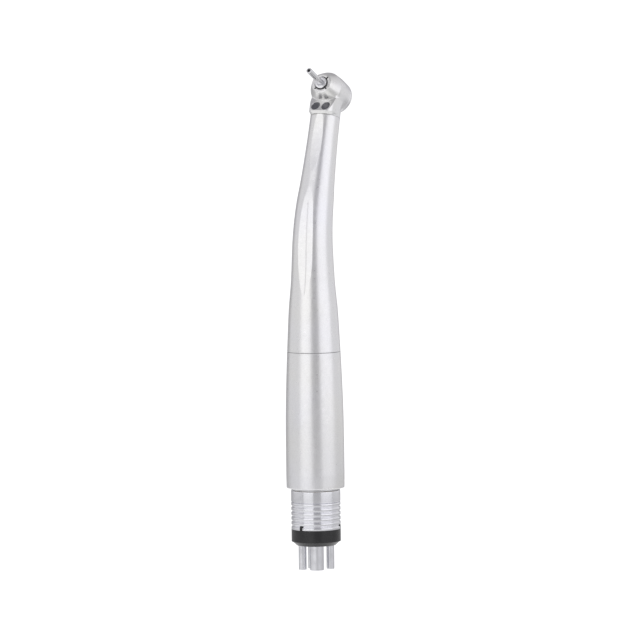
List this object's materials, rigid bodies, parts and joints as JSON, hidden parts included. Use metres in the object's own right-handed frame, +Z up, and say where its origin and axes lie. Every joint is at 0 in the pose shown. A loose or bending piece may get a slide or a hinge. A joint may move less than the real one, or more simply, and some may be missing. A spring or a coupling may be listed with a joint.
{
  "type": "dental handpiece",
  "caption": "High speed dental turbine handpiece with a bent neck, push-button chuck, twin light windows and a swivelling quick coupler with hose tubes.",
  "frame": {"origin": "centre of the flat rear face of the coupler, where a hose connector seats", "axes": "+Z up the handle, +Y the side the neck leans to, the drill blank points to -Y and up"},
  "size_m": [0.0166, 0.0289, 0.1422],
  "materials": {
    "aluminium_parts": "machined",
    "black_polymer": "fine satin",
    "brass_parts": "machined",
    "bright_steel": "ground",
    "cage_resin": "satin",
    "copper_coil": "enamelled winding",
    "fibre_glass": "polished",
    "lamp_lens": "clear",
    "line_tube": "drawn",
    "magnet": "plated",
    "polished_chrome": "polished",
    "rod_glass": "polished",
    "rubber_rings": "matt",
    "satin_shell": "satin pearl chrome over brass",
    "steel": "turned"
  },
  "bodies": {
    "coupler": {"coupler_barrel": "steel", "tail_plate": "steel", "exhaust_tube": "polished_chrome", "drive_air_tube": "polished_chrome", "water_tube": "polished_chrome", "chip_air_tube": "polished_chrome", "retaining_clip": "steel", "smooth_band": "polished_chrome", "nose_o_rings": "rubber_rings", "lamp_holder": "aluminium_parts", "led_lamp": "lamp_lens", "generator_stator": "copper_coil", "generator_bearing_plate": "aluminium_parts", "generator_front_plate": "aluminium_parts", "collar_spring": "bright_steel"},
    "collar": {"release_collar": "polished_chrome", "tail_ring": "black_polymer"},
    "swivel": {"swivel_ring": "black_polymer"},
    "handpiece": {"rear_casing": "satin_shell", "rear_socket": "brass_parts", "casing_seal_ring": "rubber_rings", "front_body": "satin_shell", "drive_air_line": "line_tube", "water_line": "line_tube", "chip_air_line": "line_tube", "light_rod_left": "rod_glass", "light_rod_right": "rod_glass", "head_housing": "satin_shell", "spray_ring": "bright_steel", "window_left": "fibre_glass", "window_right": "fibre_glass", "back_cap": "satin_shell", "cap_o_ring": "rubber_rings", "button_spring": "bright_steel", "front_bearing_outer_race": "bright_steel", "rear_bearing_outer_race": "bright_steel", "front_damper_ring": "rubber_rings", "rear_damper_ring": "rubber_rings", "preload_washer": "bright_steel"},
    "button": {"push_button": "satin_shell"},
    "rotor": {"spindle": "steel", "turbine_wheel": "aluminium_parts", "front_bearing_inner_race": "bright_steel", "rear_bearing_inner_race": "bright_steel", "chuck_spring": "bright_steel"},
    "plunger": {"chuck_plunger": "steel"},
    "jaw_1": {"collet_jaw_1": "steel"},
    "jaw_2": {"collet_jaw_2": "steel"},
    "jaw_3": {"collet_jaw_3": "steel"},
    "front_ball_set": {"front_bearing_balls": "bright_steel", "front_bearing_cage": "cage_resin"},
    "rear_ball_set": {"rear_bearing_balls": "bright_steel", "rear_bearing_cage": "cage_resin"},
    "blank": {"drill_blank": "steel"},
    "generator_rotor": {"generator_shaft": "steel", "generator_magnet": "magnet", "generator_impeller": "aluminium_parts"}
  },
  "joints": [
    {"name": "collar_release", "type": "slide", "parent": "coupler", "child": "collar", "axis": [0, 0, -1], "range_m": [0, 0.0012], "stiffness_N_per_m": 3000, "deforming": ["collar_spring"]},
    {"name": "handpiece_swivel", "type": "hinge", "parent": "coupler", "child": "swivel", "pos_m": [0, 0, 0.016], "axis": [0, 0, 1], "continuous": true},
    {"name": "handpiece_pull_off", "type": "slide", "parent": "swivel", "child": "handpiece", "axis": [0, 0, 1], "range_m": [0, 0.03]},
    {"name": "button_press", "type": "slide", "parent": "handpiece", "child": "button", "axis": [0, -0.9164, 0.4003], "range_m": [0, 0.0004], "stiffness_N_per_m": 4000, "deforming": ["button_spring"]},
    {"name": "turbine_spin", "type": "hinge", "parent": "handpiece", "child": "rotor", "pos_m": [0, 0.01283, 0.12852], "axis": [0, -0.9164, 0.4003], "continuous": true},
    {"name": "chuck_plunger_slide", "type": "slide", "parent": "rotor", "child": "plunger", "axis": [0, -0.9164, 0.4003], "range_m": [0, 0.00026], "deforming": ["chuck_spring"]},
    {"name": "jaw_1_opening", "type": "slide", "parent": "rotor", "child": "jaw_1", "axis": [1, 0, 0], "range_m": [0, 0.00005]},
    {"name": "jaw_2_opening", "type": "slide", "parent": "rotor", "child": "jaw_2", "axis": [-0.5, 0.3467, 0.7936], "range_m": [0, 0.00005]},
    {"name": "jaw_3_opening", "type": "slide", "parent": "rotor", "child": "jaw_3", "axis": [-0.5, -0.3467, -0.7936], "range_m": [0, 0.00005]},
    {"name": "front_balls_roll", "type": "hinge", "parent": "handpiece", "child": "front_ball_set", "pos_m": [0, 0.01283, 0.12852], "axis": [0, -0.9164, 0.4003], "continuous": true},
    {"name": "rear_balls_roll", "type": "hinge", "parent": "handpiece", "child": "rear_ball_set", "pos_m": [0, 0.01283, 0.12852], "axis": [0, -0.9164, 0.4003], "continuous": true},
    {"name": "blank_release", "type": "slide", "parent": "rotor", "child": "blank", "axis": [0, -0.9164, 0.4003], "range_m": [0, 0.0095]},
    {"name": "generator_spin", "type": "hinge", "parent": "coupler", "child": "generator_rotor", "pos_m": [0, 0, 0.029], "axis": [0, 0, 1], "continuous": true}
  ],
  "couplings": [
    {"joint": "chuck_plunger_slide", "follows": "button_press", "ratio": 0.65},
    {"joint": "front_balls_roll", "follows": "turbine_spin", "ratio": 0.395},
    {"joint": "rear_balls_roll", "follows": "turbine_spin", "ratio": 0.395},
    {"joint": "jaw_1_opening", "follows": "button_press", "ratio": 0.125},
    {"joint": "jaw_2_opening", "follows": "button_press", "ratio": 0.125},
    {"joint": "jaw_3_opening", "follows": "button_press", "ratio": 0.125}
  ]
}
